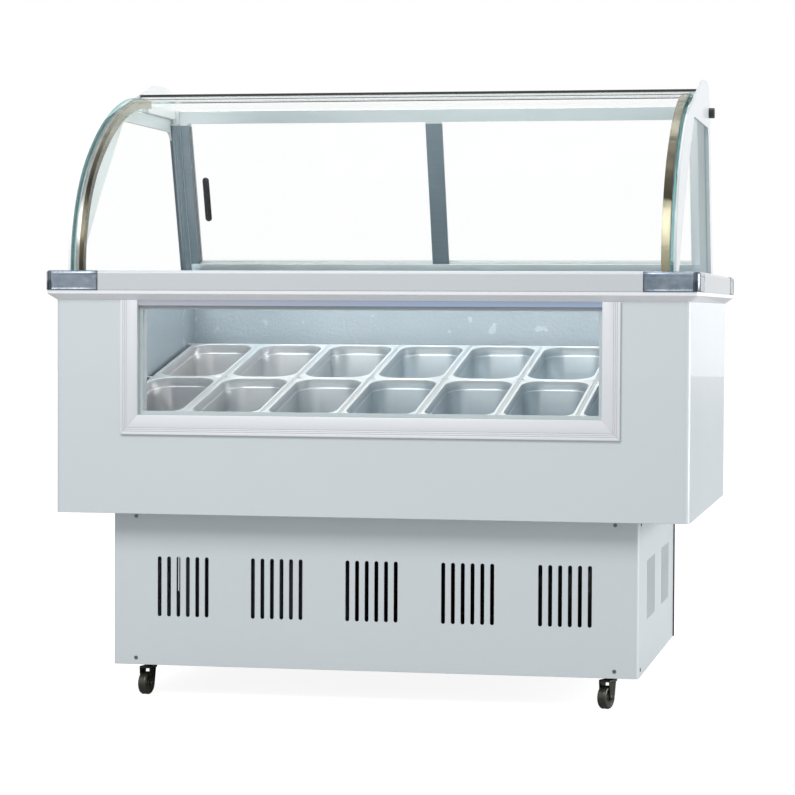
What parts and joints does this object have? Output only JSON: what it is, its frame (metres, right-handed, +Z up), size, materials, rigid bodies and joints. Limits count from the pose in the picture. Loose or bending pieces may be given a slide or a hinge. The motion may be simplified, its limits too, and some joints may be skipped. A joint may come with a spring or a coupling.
{
  "type": "ice cream display freezer",
  "caption": "Wheeled display freezer with a bent-glass canopy, tilted steel pans, front window and rear sliding doors.",
  "frame": {"origin": "on the floor under the centre of the counter, at the bottom centre of the bounding box", "axes": "+Z up, -Y is the customer's front with the window, +X is to the right seen from the front"},
  "size_m": [1.4, 0.98, 1.3701],
  "materials": {
    "white_panel": "satin white coated steel",
    "white_moulding": "gloss white moulding",
    "white_band": "satin white extrusion",
    "pvc_frame": "white window profile",
    "white_bracket": "white powder coat",
    "foam": "rigid foam",
    "liner_steel": "embossed stainless",
    "polished_cap": "polished",
    "clear_glass": "clear tempered",
    "spacer_alu": "anodised",
    "rail_steel": "satin",
    "polished_arch": "polished, warm tint",
    "black_rubber": "black",
    "frame_alu": "satin anodised",
    "galvanised": "galvanised",
    "black_grille": "black coat",
    "screw_steel": "plated",
    "condenser_alu": "finned block",
    "black_paint": "black enamel",
    "fan_plastic": "moulded",
    "copper": "copper pipe",
    "zinc": "dark zinc plate",
    "wheel_black": "black wheel",
    "pan_steel": "bright stainless"
  },
  "bodies": {
    "cabinet": {"front_panel": "white_panel", "body_panels": "white_panel", "base_front_panel": "white_panel", "base_side_panels": "white_panel", "counter_lip": "white_moulding", "corner_caps_rear": "white_moulding", "counter_bands": "white_band", "window_frame_sides": "pvc_frame", "window_frame_bottom": "pvc_frame", "end_brackets": "white_bracket", "insulation": "foam", "liner": "liner_steel", "corner_caps_front": "polished_cap", "window_panes": "clear_glass", "side_glass": "clear_glass", "top_glass": "clear_glass", "window_spacer": "spacer_alu", "pan_rails": "rail_steel", "clamp_knobs": "black_rubber", "rear_sill": "frame_alu", "rear_frame": "frame_alu", "base_frame": "galvanised", "base_rear_grille": "black_grille", "control_box": "black_grille", "panel_screws": "screw_steel", "condenser": "condenser_alu", "fan_motor": "black_paint", "compressor": "black_paint", "refrigerant_circuit": "copper", "caster_plates": "zinc"},
    "canopy": {"canopy_glass": "clear_glass", "arch_tubes": "polished_arch", "canopy_hinge_bar": "black_rubber"},
    "sliding_door_left": {"sliding_door_left": "clear_glass"},
    "sliding_door_right": {"sliding_door_right": "clear_glass"},
    "fan_rotor": {"fan_rotor": "fan_plastic"},
    "thermostat_knob": {"thermostat_knob": "black_rubber"},
    "power_switch": {"power_switch": "black_rubber"},
    "caster_fork_1": {"caster_fork_1": "zinc"},
    "caster_wheel_1": {"caster_wheel_1": "wheel_black"},
    "caster_fork_2": {"caster_fork_2": "zinc"},
    "caster_wheel_2": {"caster_wheel_2": "wheel_black"},
    "caster_fork_3": {"caster_fork_3": "zinc"},
    "caster_wheel_3": {"caster_wheel_3": "wheel_black"},
    "caster_fork_4": {"caster_fork_4": "zinc"},
    "caster_wheel_4": {"caster_wheel_4": "wheel_black"},
    "pan_front_1": {"pan_front_1": "pan_steel"},
    "pan_front_2": {"pan_front_2": "pan_steel"},
    "pan_front_3": {"pan_front_3": "pan_steel"},
    "pan_front_4": {"pan_front_4": "pan_steel"},
    "pan_front_5": {"pan_front_5": "pan_steel"},
    "pan_front_6": {"pan_front_6": "pan_steel"},
    "pan_front_7": {"pan_front_7": "pan_steel"},
    "pan_rear_1": {"pan_rear_1": "pan_steel"},
    "pan_rear_2": {"pan_rear_2": "pan_steel"},
    "pan_rear_3": {"pan_rear_3": "pan_steel"},
    "pan_rear_4": {"pan_rear_4": "pan_steel"},
    "pan_rear_5": {"pan_rear_5": "pan_steel"},
    "pan_rear_6": {"pan_rear_6": "pan_steel"},
    "pan_rear_7": {"pan_rear_7": "pan_steel"}
  },
  "joints": [
    {"name": "canopy_hinge", "type": "hinge", "parent": "cabinet", "child": "canopy", "pos_m": [0, 0.05, 1.326], "axis": [-1, 0, 0], "range_deg": [0, 60]},
    {"name": "left_door_slide", "type": "slide", "parent": "cabinet", "child": "sliding_door_left", "axis": [1, 0, 0], "range_m": [0, 0.56]},
    {"name": "right_door_slide", "type": "slide", "parent": "cabinet", "child": "sliding_door_right", "axis": [-1, 0, 0], "range_m": [0, 0.56]},
    {"name": "fan_spin", "type": "hinge", "parent": "cabinet", "child": "fan_rotor", "pos_m": [-0.24, -0.316, 0.192], "axis": [0, 1, 0], "continuous": true},
    {"name": "thermostat_turn", "type": "hinge", "parent": "cabinet", "child": "thermostat_knob", "pos_m": [0.34, 0.385, 0.33], "axis": [0, 1, 0], "range_deg": [0, 270]},
    {"name": "switch_rock", "type": "hinge", "parent": "cabinet", "child": "power_switch", "pos_m": [0.39, 0.3815, 0.33], "axis": [1, 0, 0], "range_deg": [-8, 8]},
    {"name": "caster_swivel_1", "type": "hinge", "parent": "cabinet", "child": "caster_fork_1", "pos_m": [-0.505, -0.346, 0.06], "axis": [0, 0, 1], "continuous": true},
    {"name": "caster_roll_1", "type": "hinge", "parent": "caster_fork_1", "child": "caster_wheel_1", "pos_m": [-0.50847, -0.3657, 0.025], "axis": [-0.9848, 0.1736, 0], "continuous": true},
    {"name": "caster_swivel_2", "type": "hinge", "parent": "cabinet", "child": "caster_fork_2", "pos_m": [0.505, -0.346, 0.06], "axis": [0, 0, 1], "continuous": true},
    {"name": "caster_roll_2", "type": "hinge", "parent": "caster_fork_2", "child": "caster_wheel_2", "pos_m": [0.49816, -0.36479, 0.025], "axis": [-0.9397, 0.342, 0], "continuous": true},
    {"name": "caster_swivel_3", "type": "hinge", "parent": "cabinet", "child": "caster_fork_3", "pos_m": [-0.505, 0.325, 0.06], "axis": [0, 0, 1], "continuous": true},
    {"name": "caster_roll_3", "type": "hinge", "parent": "caster_fork_3", "child": "caster_wheel_3", "pos_m": [-0.50326, 0.30508, 0.025], "axis": [-0.9962, -0.0872, 0], "continuous": true},
    {"name": "caster_swivel_4", "type": "hinge", "parent": "cabinet", "child": "caster_fork_4", "pos_m": [0.505, 0.325, 0.06], "axis": [0, 0, 1], "continuous": true},
    {"name": "caster_roll_4", "type": "hinge", "parent": "caster_fork_4", "child": "caster_wheel_4", "pos_m": [0.495, 0.30768, 0.025], "axis": [-0.866, 0.5, 0], "continuous": true},
    {"name": "pan_front_1_lift", "type": "slide", "parent": "cabinet", "child": "pan_front_1", "axis": [0, -0.1977, 0.9803], "range_m": [0, 0.13]},
    {"name": "pan_front_2_lift", "type": "slide", "parent": "cabinet", "child": "pan_front_2", "axis": [0, -0.1977, 0.9803], "range_m": [0, 0.13]},
    {"name": "pan_front_3_lift", "type": "slide", "parent": "cabinet", "child": "pan_front_3", "axis": [0, -0.1977, 0.9803], "range_m": [0, 0.13]},
    {"name": "pan_front_4_lift", "type": "slide", "parent": "cabinet", "child": "pan_front_4", "axis": [0, -0.1977, 0.9803], "range_m": [0, 0.13]},
    {"name": "pan_front_5_lift", "type": "slide", "parent": "cabinet", "child": "pan_front_5", "axis": [0, -0.1977, 0.9803], "range_m": [0, 0.13]},
    {"name": "pan_front_6_lift", "type": "slide", "parent": "cabinet", "child": "pan_front_6", "axis": [0, -0.1977, 0.9803], "range_m": [0, 0.13]},
    {"name": "pan_front_7_lift", "type": "slide", "parent": "cabinet", "child": "pan_front_7", "axis": [0, -0.1977, 0.9803], "range_m": [0, 0.13]},
    {"name": "pan_rear_1_lift", "type": "slide", "parent": "cabinet", "child": "pan_rear_1", "axis": [0, -0.1977, 0.9803], "range_m": [0, 0.13]},
    {"name": "pan_rear_2_lift", "type": "slide", "parent": "cabinet", "child": "pan_rear_2", "axis": [0, -0.1977, 0.9803], "range_m": [0, 0.13]},
    {"name": "pan_rear_3_lift", "type": "slide", "parent": "cabinet", "child": "pan_rear_3", "axis": [0, -0.1977, 0.9803], "range_m": [0, 0.13]},
    {"name": "pan_rear_4_lift", "type": "slide", "parent": "cabinet", "child": "pan_rear_4", "axis": [0, -0.1977, 0.9803], "range_m": [0, 0.13]},
    {"name": "pan_rear_5_lift", "type": "slide", "parent": "cabinet", "child": "pan_rear_5", "axis": [0, -0.1977, 0.9803], "range_m": [0, 0.13]},
    {"name": "pan_rear_6_lift", "type": "slide", "parent": "cabinet", "child": "pan_rear_6", "axis": [0, -0.1977, 0.9803], "range_m": [0, 0.13]},
    {"name": "pan_rear_7_lift", "type": "slide", "parent": "cabinet", "child": "pan_rear_7", "axis": [0, -0.1977, 0.9803], "range_m": [0, 0.13]}
  ]
}
